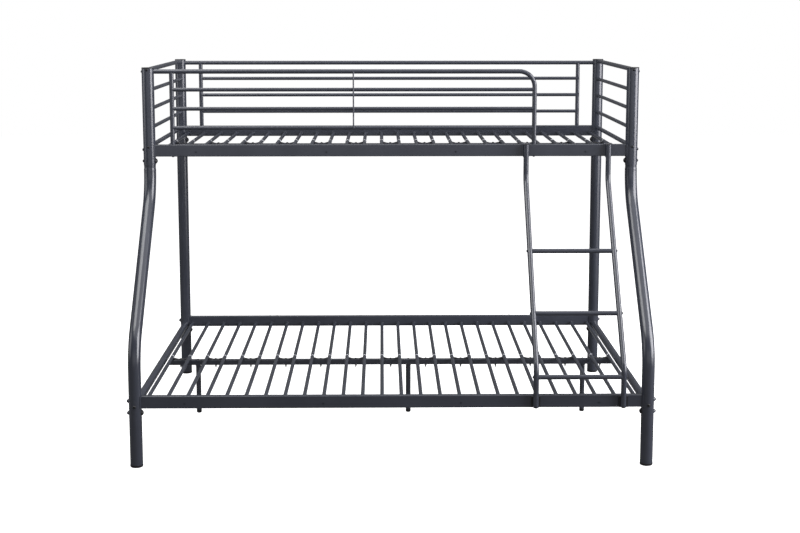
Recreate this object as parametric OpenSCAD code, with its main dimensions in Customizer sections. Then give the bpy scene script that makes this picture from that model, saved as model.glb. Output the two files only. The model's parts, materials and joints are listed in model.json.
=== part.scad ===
// Metal bunk bed: a narrow upper deck over a wide lower deck, with front legs
// that curve out, tube slats on both decks, two guards and a hooked ladder.
// X runs along the bed, Y points to its rear and Z points up, in millimetres.

/* [Overall] */
// Distance between the post axes along the bed
post_span = 2030; // [1980:5:2080]
// Distance from the rear posts to the upper front posts
upper_depth = 970; // [940:5:1000]
// Distance from the rear posts to the feet of the front legs
lower_depth = 1465; // [1440:5:1490]
// Height of the bed with its post caps
bed_height = 1560; // [1560:2:1600]
// Height of the lower side rails' underside
lower_deck_z = 239; // [225:1:255]
// Height of the upper side rails' underside
upper_deck_z = 1187; // [1175:1:1195]

/* [Posts and legs] */
// Outer diameter of the legs and upper posts
post_d = 50.8; // [50:0.1:52]
// Wall of the leg tube
leg_wall = 1.5; // [1.2:0.1:2]
// Wall of the upper post tube
upper_wall = 1; // [0.9:0.1:1.2]
// Height of the upper posts' lower end
joint_z = 1150; // [1146:1:1154]
// Length of the neck inside the upper post
neck_insert = 85; // [60:1:110]
// Length of the neck that shows under the upper post
neck_show = 10; // [6:1:12]
// Length of the taper from the neck to the leg
neck_taper = 8; // [6:1:10]
// Centreline radius of the leg's two bends
leg_bend_r = 235; // [200:5:250]
// Angle of the leg's slanted part from upright
leg_slant = 41; // [39:0.5:43]
// Height of the foot caps
foot_cap_h = 10; // [8:1:14]
// Chamfer round the underside of the foot caps
foot_chamfer = 2.5; // [1:0.5:4]
// Height of the post caps
post_cap_h = 4; // [3:0.5:5]
// Chamfer round the top of the post caps
post_cap_chamfer = 1.2; // [0.5:0.1:2]
// How far a cap stands out round its tube
cap_rim = 0.4; // [0.2:0.1:0.8]
// Depth of the caps' spigots in the tubes
cap_spigot = 18; // [12:1:25]
// How far a bend's tube is drawn thinner on both faces
bend_thin = 0.1; // [0.08:0.01:0.15]
// How far a straight tube runs into a bend
bend_lap = 0.5; // [0.3:0.1:1]

/* [Side rails] */
// Height of the side rails
rail_h = 50; // [46:1:54]
// Thickness of the side rails
rail_w = 25; // [23:1:27]
// Wall of the side rails
rail_wall = 1.5; // [1.2:0.1:2]
// Outer radius of the side rails' edges
rail_corner = 3; // [2.5:0.5:5]
// Thickness of the curved saddle plates
saddle_t = 3; // [2.5:0.5:4]
// Width of the saddle plates across the post
saddle_w = 34; // [28:1:36]
// Diameter of the saddle's threaded boss
boss_d = 16; // [14:1:18]
// Length of the saddle's threaded boss
boss_l = 24; // [18:1:30]
// Diameter of the small holes in the front rails' outer face
face_hole_d = 6.5; // [4:0.5:9]
// Height of those holes over the rail's underside
face_hole_up = 19; // [14:1:26]
// Distance of the inner pair of holes from the rail's middle
face_hole_in = 272; // [240:2:300]
// Distance of the outer pair of holes from the rail's middle
face_hole_out = 819; // [790:2:840]

/* [Slats and beams] */
// Slats on each deck
slat_count = 26; // [26:2:26]
// Distance from the post axes to the first slat
slat_inset = 34; // [32:1:38]
// Diameter of the slat tubes
slat_d = 16; // [15:0.5:17]
// Diameter of the rear tubes' necks inside the front tubes
slat_neck_d = 13; // [12:0.5:13]
// Wall of the slat tubes
slat_wall = 1; // [0.8:0.1:1.2]
// Height of the slats' centreline over the rails' underside
slat_up = 13.5; // [12:0.5:14]
// How far the rear tube's neck slides into the front tube
slat_overlap = 60; // [40:5:90]
// Diameter of the white rings
ring_d = 17.5; // [17:0.5:19]
// Length of the white rings that shows
ring_l = 3; // [2:0.5:5]
// Length of the white rings' sleeve inside the front tube
ring_sleeve = 14; // [8:1:20]
// Side of the square beam tube
beam_side = 23.5; // [18:0.5:25]
// Wall of the beam tube
beam_wall = 1.2; // [1:0.1:1.5]
// Outer radius of the beams' edges
beam_corner = 2; // [2:0.5:4]
// How far a beam runs past the first and last slat
beam_overhang = 14; // [12:1:20]
// Distance from the rear posts to the upper beam
upper_beam_y = 452; // [430:2:480]
// Distance from the rear posts to the lower beam
lower_beam_y = 706; // [680:2:730]
// How far behind the beam the rings lie
ring_behind = 0.5; // [0.5:0.5:8]
// Thickness of the slat clips
clip_t = 2.2; // [1.8:0.2:2.8]
// Width of the slat clips along the slats
clip_w = 18; // [14:1:20]
// Length of a clip's flat middle between its rising flanks
clip_flat = 26; // [20:1:32]

/* [Supports] */
// Diameter of the support legs
support_d = 22; // [20:1:24]
// Wall of the support legs
support_wall = 1.2; // [1:0.1:1.5]
// Height of the rounded support feet
support_foot_h = 14; // [12:1:20]
// Sheet thickness of the support brackets
bracket_t = 2; // [1.5:0.5:2.5]
// Height of the bracket's cheeks on the beam
bracket_cheek = 14; // [10:1:16]

/* [Guards] */
// Height of the guards' top tubes
guard_z = 1543; // [1540:1:1544]
// Distance from the guards' top tubes down to their highest bars
guard_bar_drop = 76; // [75:1:81]
// Distance from one guard bar or end rung down to the next
bar_pitch = 80; // [76:1:82]
// Diameter of the guards' top tubes and posts
guard_d = 19; // [18:0.5:20]
// Diameter of the guard bars
bar_d = 16; // [15:0.5:17]
// Wall of the guard tubes
guard_wall = 1; // [0.8:0.1:1.2]
// Centreline radius of the front guard's bend
guard_bend_r = 65; // [55:1:75]
// Distance from the left posts to the guard posts
guard_inset = 98; // [90:1:110]
// Distance from the front guard's end to the right post
access_w = 412; // [405:1:420]
// Diameter of the thin rod in the front guard
rod_d = 6; // [5:0.5:8]

/* [End panels] */
// Height of the end panels' top tubes
end_top_z = 1550.5; // [1550.5:0.1:1551]
// Distance from the end panels' top tubes down to their highest rungs
end_rung_drop = 86.5; // [82.5:0.5:90.5]
// Diameter of the end panels' top tubes and deck tubes
end_tube_d = 19; // [18:0.5:20]
// Diameter of the end panels' rungs
end_rung_d = 16; // [15:0.5:17]
// Wall of the end panel tubes
end_wall = 1; // [0.8:0.1:1.2]
// Height of the end panels' deck tubes over the upper rails' underside
deck_tube_up = 41; // [40:0.5:42]
// Diameter of the lower end rails
end_rail_d = 32; // [30:0.5:34]
// Wall of the lower end rails
end_rail_wall = 1.5; // [1.2:0.1:2]
// Height of the lower end rails over the side rails' underside
end_rail_up = 10; // [9:0.5:11]

/* [Ladder] */
// Distance between the ladder's rails
ladder_w = 346; // [330:2:356]
// Distance from the right post to the ladder's right rail
ladder_inset = 101; // [96:1:104]
// Diameter of the ladder's rails
ladder_d = 22; // [20:0.5:24]
// Wall of the ladder's tubes
ladder_wall = 1.2; // [1:0.1:1.5]
// Centreline radius of the ladder's bends
ladder_bend_r = 70; // [60:5:90]
// Height of the ladder's upper bend
ladder_bend_top = 1090; // [1080:5:1100]
// Height of the ladder's lower bend
ladder_bend_low = 398; // [394:1:402]
// Height of the ladder's lower end
ladder_foot_z = 241; // [235:1:250]
// Height of the lowest rung
rung_low_z = 366; // [360:1:370]
// Height from one rung to the next
rung_pitch = 226; // [220:1:230]
// Diameter of the rungs
rung_d = 19; // [18:0.5:20]
// Thickness of the hooks
hook_t = 4; // [3:0.5:5]
// Width of the hooks
hook_w = 36; // [30:1:38]
// Length of the hook's plate in front of the bed's rail
hook_front = 56; // [50:1:70]
// Width of the cut on the plates' lower corners
hook_cut_w = 9; // [5:0.5:11]
// Height of the cut on the plates' lower corners
hook_cut_h = 14; // [8:1:20]
// Depth of the hook behind the bed's rail
hook_back = 17; // [12:1:19]
// Height of the pads behind the ladder's foot
pad_h = 44; // [36:2:60]
// Height of the ladder rails' end caps
ladder_cap_h = 6; // [5:0.5:8]

/* [Fasteners] */
// Diameter of the rail bolts and cross bolts
bolt_d = 8; // [6:0.5:8]
// Diameter of the bolt heads
head_d = 13; // [12:0.5:14]
// Height of the bolt heads
head_h = 5; // [4:0.5:6]
// Diameter of the hexagon socket across its corners
socket_d = 5.5; // [4:0.5:6]
// Depth of the hexagon socket
socket_deep = 2.6; // [1.5:0.1:3]
// Height of the rail bolts over the rails' underside
rail_bolt_up = 29; // [28:0.5:30]
// Distance of the cross bolts below the rails' underside
cross_bolt_down = 19; // [17:1:20]
// Diameter of the domed nut caps
nut_cap_d = 23; // [20:0.5:25]
// Height of the domed nut caps
nut_cap_h = 8; // [7:0.5:9]
// Diameter of the dished washers
washer_d = 25; // [22:0.5:26]
// Height of the dished washers at their rim's middle
washer_h = 3.5; // [2.5:0.5:4.5]
// Diameter of the thin bolts in tubes
thin_bolt_d = 6; // [5:0.5:6]
// Diameter of the thin bolts' heads
thin_head_d = 11; // [10:0.5:12]
// Height of the thin bolts' heads
thin_head_h = 4; // [3.2:0.2:5]
// Length of the threaded plugs in the tubes
plug_l = 20; // [15:1:26]
// Diameter of the clip screws
screw_d = 5; // [4:0.5:5]
// Diameter of the clip screws' heads
screw_head_d = 12; // [10:0.5:13]
// Height of the clip screws' heads
screw_head_h = 4; // [3:0.5:5]
// Length of the pointed nuts under the beams
tip_nut_l = 15; // [9:0.5:16]
// Diameter of the pointed nuts
tip_nut_d = 9.5; // [8.5:0.5:10.5]
// Diameter of the hole plugs' heads
plug_head_d = 10; // [9:0.5:12]
// Height of the hole plugs' heads
plug_head_h = 2; // [1.5:0.5:3]
// Depth of the hole plugs' stems
plug_stem = 9; // [6:1:12]
// Distance of the rail plugs from the rail's middle
rail_plug_x = 578; // [560:2:600]
// Half the distance between the two plugs of a pair
plug_half_gap = 17; // [14:1:22]

/* [Fits] */
// Gap between parts that are welded or seated on each other
seat_gap = 0.05; // [0.02:0.01:0.15]
// Gap round a bolt in its hole
bolt_fit = 0.25; // [0.15:0.05:0.4]
// Gap round a tube or plug that slides into another
slip_fit = 0.1; // [0.05:0.01:0.2]
// Gap between the ladder and the bed
ladder_gap = 0.5; // [0.3:0.1:1]
// How far cuts run past the solid
overrun = 1; // [0.5:0.5:2]

/* [Hidden] */
post_r = post_d / 2;
post_x = post_span / 2;
leg_bore_r = post_r - leg_wall;
post_bore_r = post_r - upper_wall;
neck_r = post_bore_r - slip_fit;
neck_bore_r = neck_r - leg_wall;
saddle_r = post_r + seat_gap + saddle_t;
rail_cope_r = saddle_r + seat_gap;
bar_cope = guard_d / 2 + seat_gap;
post_cope = post_r + seat_gap;
ladder_r = ladder_d / 2;
ladder_stand = rail_w / 2 + ladder_gap + hook_t + ladder_r;
front_reach = lower_depth + ladder_stand + ladder_r;
rear_reach = post_r + head_h;
y_rear = (front_reach - rear_reach) / 2;
y_upper = y_rear - upper_depth;
y_lower = y_rear - lower_depth;
y_upper_beam = y_rear - upper_beam_y;
y_lower_beam = y_rear - lower_beam_y;
post_top_z = bed_height - post_cap_h;
taper_z = joint_z - neck_show - neck_taper;
upper_rail_top = upper_deck_z + rail_h;
lower_rail_top = lower_deck_z + rail_h;
slat_span = post_span - 2 * slat_inset;
slat_pitch = slat_span / (slat_count - 1);
upper_slat_z = upper_deck_z + slat_up;
lower_slat_z = lower_deck_z + slat_up;
slat_bore = slat_d - 2 * slat_wall;
beam_half = slat_span / 2 + beam_overhang;
beam_drop = slat_d / 2 + beam_side;
support_bay_shares = [-0.44, 0.04, 0.44];
clip_first = -(slat_count / 2 - 1);
clip_last = slat_count / 2 - 1;
bar_steps = [0, 1, 2];
guard_bar_z = guard_z - guard_bar_drop;
end_rung_z = end_top_z - end_rung_drop;
guard_left_x = -post_x + guard_inset;
guard_right_x = post_x - access_w;
ladder_right_x = post_x - ladder_inset;
ladder_left_x = ladder_right_x - ladder_w;
ladder_y_top = y_upper - ladder_stand;
ladder_y_low = y_lower - ladder_stand;
ladder_run = lower_depth - upper_depth;
ladder_fall = ladder_bend_top - ladder_bend_low;
ladder_angle = atan(ladder_run / ladder_fall);
ladder_tangent = ladder_bend_r * tan(ladder_angle / 2);
ladder_top_z = upper_rail_top + hook_t - ladder_cap_h / 2;
rung_cope = ladder_r + seat_gap;
frame_grey = [0.20, 0.21, 0.24];
cap_black = [0.05, 0.05, 0.06];
ring_white = [0.90, 0.90, 0.92];
bolt_black = [0.08, 0.08, 0.09];
$fn = 64;

// Shared shapes

// The section of a round tube
module ring_section(d, wall) {
    difference() {
        circle(d = d);
        circle(d = d - 2 * wall);
    }
}

// A round tube that stands on its lower end
module tube(d, wall, length) {
    linear_extrude(height = length) ring_section(d, wall);
}

// A round tube along X that starts at the origin
module tube_x(d, wall, length) {
    rotate([0, 90, 0]) tube(d, wall, length);
}

// A round tube along Y that starts at the origin
module tube_y(d, wall, length) {
    rotate([-90, 0, 0]) tube(d, wall, length);
}

// A rectangle with round corners, centred on the origin
module round_rectangle(w, h, r) {
    square([w - 2 * r, h], center = true);
    square([w, h - 2 * r], center = true);
    for (x = [r - w / 2, w / 2 - r], y = [r - h / 2, h / 2 - r])
        translate([x, y]) circle(r = r);
}

// A rectangular tube along X that is centred on the origin
module box_tube(w, h, wall, corner, length) {
    rotate([90, 0, 90]) linear_extrude(height = length, center = true) difference() {
        round_rectangle(w, h, corner);
        round_rectangle(w - 2 * wall, h - 2 * wall, corner - wall);
    }
}

// A bend in the upright plane across the bed, from one angle on by a turn
module bend_yz(radius, from, turn, d, wall) {
    rotate([90, 0, 90]) rotate([0, 0, from]) rotate_extrude(angle = turn)
        translate([radius, 0]) ring_section(d - 2 * bend_thin, wall - 2 * bend_thin);
}

// A rod along X that is centred on the origin
module rod_x(d, length) {
    rotate([0, 90, 0]) cylinder(d = d, h = length, center = true);
}

// Half the section of a dome with its flat side on the first axis
module dome_profile(d, h) {
    ball = (d * d / 4 + h * h) / (2 * h);
    intersection() {
        translate([0, h - ball]) circle(r = ball);
        square([d / 2, h]);
    }
}

// A dome that rises along Z from its flat side
module dome(d, h) {
    rotate_extrude() dome_profile(d, h);
}

// A bolt along X with its head's seat at the origin and its shank towards +X
module bolt_x(d, length, cap_d, cap_h) {
    rotate([0, 90, 0]) cylinder(d = d, h = length);
    difference() {
        rotate([0, -90, 0]) dome(cap_d, cap_h);
        translate([-cap_h - overrun, 0, 0]) rotate([0, 90, 0])
            cylinder(d = socket_d, h = socket_deep + overrun, $fn = 6);
    }
}

// The four posts in plan: side along X, then rear or front
module at_upper_corners() {
    for (side = [-1, 1], y = [y_upper, y_rear])
        translate([side * post_x, y, 0]) scale_side(side) children();
}

module at_lower_corners() {
    for (side = [-1, 1], y = [y_lower, y_rear])
        translate([side * post_x, y, 0]) scale_side(side) children();
}

// Turns a piece made for the left end so that it fits the right end
module scale_side(side) {
    rotate([0, 0, side < 0 ? 0 : 180]) children();
}

// Legs and posts

module leg_neck() {
    translate([0, 0, taper_z]) difference() {
        cylinder(r1 = post_r, r2 = neck_r, h = neck_taper);
        translate([0, 0, -overrun]) cylinder(r = neck_bore_r, h = neck_taper + 2 * overrun);
    }
    translate([0, 0, taper_z + neck_taper]) difference() {
        tube(2 * neck_r, leg_wall, neck_show + neck_insert);
        translate([0, 0, upper_deck_z + deck_tube_up - taper_z - neck_taper]) rotate([90, 0, 0])
            cylinder(d = thin_bolt_d + 2 * bolt_fit, h = 2 * post_d, center = true);
    }
}

// Holes for the cross bolt and the rail bolt of the upper deck in a neck
module upper_bolt_holes() {
    for (z = [upper_deck_z - cross_bolt_down, upper_deck_z + rail_bolt_up])
        translate([0, 0, z]) rod_x(bolt_d + 2 * bolt_fit, 2 * post_d);
}

// Holes for the bolts of the lower deck in a leg
module lower_bolt_holes() {
    for (z = [lower_deck_z - cross_bolt_down, lower_deck_z + rail_bolt_up])
        translate([0, 0, z]) rod_x(bolt_d + 2 * bolt_fit, 2 * post_d);
    translate([0, 0, lower_deck_z + end_rail_up]) rotate([90, 0, 0])
        cylinder(d = bolt_d + 2 * bolt_fit, h = 2 * post_d, center = true);
}

module rear_leg(side) {
    translate([side * post_x, y_rear, 0]) difference() {
        union() {
            translate([0, 0, foot_cap_h]) tube(post_d, leg_wall, taper_z - foot_cap_h);
            leg_neck();
        }
        upper_bolt_holes();
        lower_bolt_holes();
    }
}

module front_leg(side) {
    rise = leg_bend_r * sin(leg_slant);
    out = leg_bend_r * (1 - cos(leg_slant));
    straight = (ladder_run - 2 * out) / sin(leg_slant);
    low_bend_z = taper_z - 2 * rise - straight * cos(leg_slant);
    translate([side * post_x, 0, 0]) difference() {
        union() {
            translate([0, y_lower, foot_cap_h])
                tube(post_d, leg_wall, low_bend_z + bend_lap - foot_cap_h);
            translate([0, y_lower + leg_bend_r, low_bend_z])
                bend_yz(leg_bend_r, 180 - leg_slant, leg_slant, post_d, leg_wall);
            translate([0, y_lower + out, low_bend_z + rise]) rotate([-leg_slant, 0, 0])
                translate([0, 0, -bend_lap]) tube(post_d, leg_wall, straight + 2 * bend_lap);
            translate([0, y_upper - leg_bend_r, taper_z])
                bend_yz(leg_bend_r, -leg_slant, leg_slant, post_d, leg_wall);
            translate([0, y_upper, taper_z - bend_lap]) tube(post_d, leg_wall, bend_lap);
            translate([0, y_upper, 0]) leg_neck();
        }
        translate([0, y_upper, 0]) upper_bolt_holes();
        translate([0, y_lower, 0]) lower_bolt_holes();
    }
}

module leg_front_left() {
    color(frame_grey) front_leg(-1);
}

module leg_front_right() {
    color(frame_grey) front_leg(1);
}

module leg_rear_left() {
    color(frame_grey) rear_leg(-1);
}

module leg_rear_right() {
    color(frame_grey) rear_leg(1);
}

module foot_caps() {
    rim_r = post_r + cap_rim;
    color(cap_black) at_lower_corners() {
        cylinder(r1 = rim_r - foot_chamfer, r2 = rim_r, h = foot_chamfer);
        translate([0, 0, foot_chamfer])
            cylinder(r = rim_r, h = foot_cap_h - foot_chamfer - seat_gap);
        translate([0, 0, foot_cap_h - seat_gap])
            cylinder(r = leg_bore_r - slip_fit, h = cap_spigot);
    }
}

// Holes for the thin bolts at the guards and the end panels
module thin_bolt_holes() {
    translate([0, 0, guard_z]) rod_x(thin_bolt_d + 2 * bolt_fit, 2 * post_d);
    for (z = [end_top_z, upper_deck_z + deck_tube_up])
        translate([0, 0, z]) rotate([90, 0, 0])
            cylinder(d = thin_bolt_d + 2 * bolt_fit, h = 2 * post_d, center = true);
}

module upper_post(side, y) {
    translate([side * post_x, y, 0]) difference() {
        translate([0, 0, joint_z]) tube(post_d, upper_wall, post_top_z - joint_z);
        upper_bolt_holes();
        thin_bolt_holes();
    }
}

module upper_post_front_left() {
    color(frame_grey) upper_post(-1, y_upper);
}

module upper_post_front_right() {
    color(frame_grey) upper_post(1, y_upper);
}

module upper_post_rear_left() {
    color(frame_grey) upper_post(-1, y_rear);
}

module upper_post_rear_right() {
    color(frame_grey) upper_post(1, y_rear);
}

module post_caps() {
    rim_r = post_r + cap_rim;
    color(cap_black) at_upper_corners() {
        difference() {
            translate([0, 0, post_top_z - cap_spigot])
                cylinder(r = post_bore_r - slip_fit, h = cap_spigot + seat_gap);
            thin_bolt_holes();
        }
        translate([0, 0, post_top_z + seat_gap])
            cylinder(r = rim_r, h = post_cap_h - post_cap_chamfer - seat_gap);
        translate([0, 0, bed_height - post_cap_chamfer])
            cylinder(r1 = rim_r, r2 = rim_r - post_cap_chamfer, h = post_cap_chamfer);
    }
}

// Side rails and their fixings

module side_rail(y, z, holes) {
    difference() {
        translate([0, y, z + rail_h / 2])
            box_tube(rail_w, rail_h, rail_wall, rail_corner, post_span);
        for (side = [-1, 1]) translate([side * post_x, y, z - overrun])
            cylinder(r = rail_cope_r, h = rail_h + 2 * overrun);
        if (holes == 1)
            for (x = [-face_hole_out, -face_hole_in, face_hole_in, face_hole_out])
                translate([x, y - rail_w / 2, z + face_hole_up]) rotate([90, 0, 0])
                    cylinder(d = face_hole_d, h = 2 * rail_wall + overrun, center = true);
        children();
    }
}

// Holes under and over a rail for the bolts of the guard posts
module guard_bolt_holes(y, first_x, second_x) {
    for (x = [first_x, second_x]) translate([x, y, upper_deck_z - overrun])
        cylinder(d = thin_bolt_d + 2 * bolt_fit, h = rail_h + 2 * overrun);
}

module upper_rail_front() {
    color(frame_grey) side_rail(y_upper, upper_deck_z, 1)
        guard_bolt_holes(y_upper, guard_left_x, guard_right_x);
}

module upper_rail_rear() {
    color(frame_grey) side_rail(y_rear, upper_deck_z, 0)
        guard_bolt_holes(y_rear, guard_left_x, -guard_left_x);
}

// Holes in a lower rail's top for its plugs
module rail_plug_holes(y, half_gap) {
    for (side = [-1, 1], step = [-1, 1])
        translate([side * rail_plug_x + step * half_gap, y, lower_rail_top - 2 * rail_wall])
            cylinder(d = thin_bolt_d + 2 * bolt_fit, h = 2 * rail_wall + overrun);
}

module lower_rail_front() {
    color(frame_grey) side_rail(y_lower, lower_deck_z, 1) rail_plug_holes(y_lower, 0);
}

module lower_rail_rear() {
    color(frame_grey) side_rail(y_rear, lower_deck_z, 0)
        rail_plug_holes(y_rear, plug_half_gap);
}

// A saddle at the left end: a curved plate on the post with a boss for the bolt
module saddle(z) {
    translate([0, 0, z]) difference() {
        union() {
            intersection() {
                difference() {
                    cylinder(r = saddle_r, h = rail_h);
                    translate([0, 0, -overrun])
                        cylinder(r = post_cope, h = rail_h + 2 * overrun);
                }
                translate([0, -saddle_w / 2, 0]) cube([post_d, saddle_w, rail_h]);
            }
            translate([post_r + saddle_t / 2, 0, rail_bolt_up]) rotate([0, 90, 0])
                cylinder(d = boss_d, h = boss_l);
        }
        translate([0, 0, rail_bolt_up]) rotate([0, 90, 0])
            cylinder(d = bolt_d + 2 * seat_gap, h = 2 * post_d);
    }
}

module rail_saddles() {
    color(frame_grey) {
        at_upper_corners() saddle(upper_deck_z);
        at_lower_corners() saddle(lower_deck_z);
    }
}

module rail_bolts() {
    length = post_d + saddle_t + boss_l;
    color(bolt_black) {
        at_upper_corners() translate([-post_r - seat_gap, 0, upper_deck_z + rail_bolt_up])
            bolt_x(bolt_d, length, head_d, head_h);
        at_lower_corners() translate([-post_r - washer_h - seat_gap, 0, lower_deck_z + rail_bolt_up])
            bolt_x(bolt_d, length, head_d, head_h);
    }
}

module cross_bolts() {
    color(bolt_black) {
        at_upper_corners() translate([-post_r - seat_gap, 0, upper_deck_z - cross_bolt_down])
            bolt_x(bolt_d, post_d + nut_cap_h / 2, head_d, head_h);
        at_lower_corners() translate([-post_r - washer_h - seat_gap, 0, lower_deck_z - cross_bolt_down])
            bolt_x(bolt_d, post_d + washer_h + nut_cap_h / 2, head_d, head_h);
    }
}

// A domed cap on the inner side of a post, hollowed for the bolt's end
module nut_cap(z) {
    rim_in = post_r - sqrt(post_r * post_r - nut_cap_d * nut_cap_d / 4);
    translate([0, 0, z]) difference() {
        translate([post_r, 0, 0]) rotate([0, 90, 0]) rotate_extrude() {
            dome_profile(nut_cap_d, nut_cap_h);
            translate([0, -rim_in]) square([nut_cap_d / 2, rim_in]);
        }
        translate([0, 0, -nut_cap_d]) cylinder(r = post_cope, h = 2 * nut_cap_d);
        rod_x(bolt_d + 2 * seat_gap, post_d + nut_cap_h + 2 * seat_gap);
    }
}

module nut_caps() {
    color(cap_black) {
        at_upper_corners() nut_cap(upper_deck_z - cross_bolt_down);
        at_lower_corners() nut_cap(lower_deck_z - cross_bolt_down);
    }
}

// A dished washer on the outer side of a leg
module dished_washer(z) {
    translate([0, 0, z]) difference() {
        translate([-post_r - washer_h, 0, 0]) rotate([0, 90, 0])
            cylinder(d1 = head_d + 2 * cap_rim, d2 = washer_d, h = washer_h + head_h);
        translate([0, 0, -washer_d]) cylinder(r = post_cope, h = 2 * washer_d);
        rod_x(bolt_d + 2 * bolt_fit, 2 * post_d);
    }
}

module bolt_washers() {
    color(frame_grey) at_lower_corners() {
        dished_washer(lower_deck_z - cross_bolt_down);
        dished_washer(lower_deck_z + rail_bolt_up);
    }
}

// Lower end rails

module lower_end_rail(side) {
    translate([side * post_x, 0, lower_deck_z + end_rail_up]) difference() {
        translate([0, y_lower, 0]) tube_y(end_rail_d, end_rail_wall, lower_depth);
        for (y = [y_lower, y_rear]) translate([0, y, -end_rail_d])
            cylinder(r = post_cope, h = 2 * end_rail_d);
    }
}

module lower_end_rail_left() {
    color(frame_grey) lower_end_rail(-1);
}

module lower_end_rail_right() {
    color(frame_grey) lower_end_rail(1);
}

// Places a piece made for a bolt along X at each end of the lower end rails
module at_end_rail_ends() {
    for (side = [-1, 1]) {
        translate([side * post_x, y_lower, lower_deck_z + end_rail_up])
            rotate([0, 0, 90]) children();
        translate([side * post_x, y_rear, lower_deck_z + end_rail_up])
            rotate([0, 0, -90]) children();
    }
}

module end_rail_bolts() {
    color(bolt_black) at_end_rail_ends() translate([-post_r - seat_gap, 0, 0])
        bolt_x(bolt_d, post_d + plug_l, head_d, head_h);
}

module end_rail_plugs() {
    color(bolt_black) at_end_rail_ends() difference() {
        translate([post_r + saddle_t, 0, 0]) rotate([0, 90, 0])
            cylinder(d = end_rail_d - 2 * end_rail_wall - 2 * slip_fit, h = plug_l);
        rod_x(bolt_d + 2 * seat_gap, 4 * post_d);
    }
}

// Upper end panels

// A tube across the bed between the upper posts, coped to both
module end_tube(side, z, d) {
    translate([side * post_x, 0, z]) difference() {
        translate([0, y_upper, 0]) tube_y(d, end_wall, upper_depth);
        for (y = [y_upper, y_rear]) translate([0, y, -d])
            cylinder(r = post_cope, h = 2 * d);
    }
}

module end_top_tubes() {
    color(frame_grey) difference() {
        for (side = [-1, 1]) end_tube(side, end_top_z, end_tube_d);
        at_upper_corners() translate([0, 0, post_top_z])
            cylinder(r = post_r + cap_rim + seat_gap, h = post_cap_h + overrun);
    }
}

module end_rungs() {
    color(frame_grey) for (side = [-1, 1], step = bar_steps)
        end_tube(side, end_rung_z - step * bar_pitch, end_rung_d);
}

module end_deck_tubes() {
    color(frame_grey) for (side = [-1, 1])
        end_tube(side, upper_deck_z + deck_tube_up, end_tube_d);
}

// Places a piece made for a bolt along X at each end of the end panels' tubes
module at_end_tube_ends() {
    for (side = [-1, 1], z = [end_top_z, upper_deck_z + deck_tube_up]) {
        translate([side * post_x, y_upper, z]) rotate([0, 0, 90]) children();
        translate([side * post_x, y_rear, z]) rotate([0, 0, -90]) children();
    }
}

module end_panel_fixings() {
    color(bolt_black) at_end_tube_ends() {
        translate([-post_r - seat_gap, 0, 0])
            bolt_x(thin_bolt_d, post_d + plug_l, thin_head_d, thin_head_h);
        translate([post_r + saddle_t, 0, 0]) rotate([0, 90, 0])
            threaded_plug(end_tube_d - 2 * end_wall);
    }
}

// Slats

// Places a piece at each slat of a deck
module at_slats() {
    for (i = [0 : slat_count - 1]) translate([-slat_span / 2 + i * slat_pitch, 0, 0]) children();
}

// The front tubes of a deck's slats, from the front rail to just behind the beam
module slats_front(y_front, y_beam, z) {
    start = y_front + rail_w / 2 + seat_gap;
    stop = y_beam + beam_side / 2 + ring_behind;
    at_slats() translate([0, start, z]) tube_y(slat_d, slat_wall, stop - start);
}

// The rear tubes of a deck's slats, each with a drawn-in neck inside its front tube
module slats_rear(y_beam, z) {
    joint = y_beam + beam_side / 2 + ring_behind;
    shoulder = ring_l + 2 * seat_gap;
    length = y_rear - rail_w / 2 - seat_gap - joint;
    neck_r = slat_neck_d / 2;
    at_slats() translate([0, joint, z]) rotate([-90, 0, 0]) rotate_extrude()
        polygon([[neck_r - slat_wall, -slat_overlap], [neck_r, -slat_overlap],
                 [neck_r, shoulder], [slat_d / 2, shoulder],
                 [slat_d / 2, length], [slat_bore / 2, length],
                 [slat_bore / 2, shoulder + slat_wall],
                 [neck_r - slat_wall, shoulder + slat_wall]]);
}

// The rings with a thin sleeve between the two tubes
module rings(y_beam, z) {
    lip = y_beam + beam_side / 2 + ring_behind;
    at_slats() translate([0, lip, z]) rotate([-90, 0, 0]) difference() {
        union() {
            translate([0, 0, seat_gap]) cylinder(d = ring_d, h = ring_l);
            translate([0, 0, -ring_sleeve])
                cylinder(d = slat_bore - 2 * slip_fit, h = ring_sleeve + ring_l);
        }
        translate([0, 0, -ring_sleeve - overrun])
            cylinder(d = slat_neck_d + 2 * slip_fit, h = ring_sleeve + ring_l + 2 * overrun);
    }
}

module upper_slats_front() {
    color(frame_grey) slats_front(y_upper, y_upper_beam, upper_slat_z);
}

module upper_slats_rear() {
    color(frame_grey) slats_rear(y_upper_beam, upper_slat_z);
}

module lower_slats_front() {
    color(frame_grey) slats_front(y_lower, y_lower_beam, lower_slat_z);
}

module lower_slats_rear() {
    color(frame_grey) slats_rear(y_lower_beam, lower_slat_z);
}

module slat_rings() {
    color(ring_white) {
        rings(y_upper_beam, upper_slat_z);
        rings(y_lower_beam, lower_slat_z);
    }
}

// Beams, clips and supports

// Places a piece at each clip, with the origin in the slats' axis plane
module at_clips(y_beam, z) {
    for (bay = [clip_first : 2 : clip_last])
        translate([bay * slat_pitch, y_beam, z]) children();
}

module beam(y_beam, z) {
    low = z - beam_drop - seat_gap;
    difference() {
        translate([0, y_beam, low + beam_side / 2])
            box_tube(beam_side, beam_side, beam_wall, beam_corner, 2 * beam_half);
        at_clips(y_beam, low - overrun)
            cylinder(d = screw_d + 2 * bolt_fit, h = beam_side + 2 * overrun);
        children();
    }
}

module upper_beam() {
    color(frame_grey) beam(y_upper_beam, upper_slat_z);
}

// Places a piece on the lower beam's underside at each support leg
module at_supports() {
    for (share = support_bay_shares)
        translate([share * slat_span, y_lower_beam, lower_slat_z - beam_drop - seat_gap]) children();
}

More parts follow.
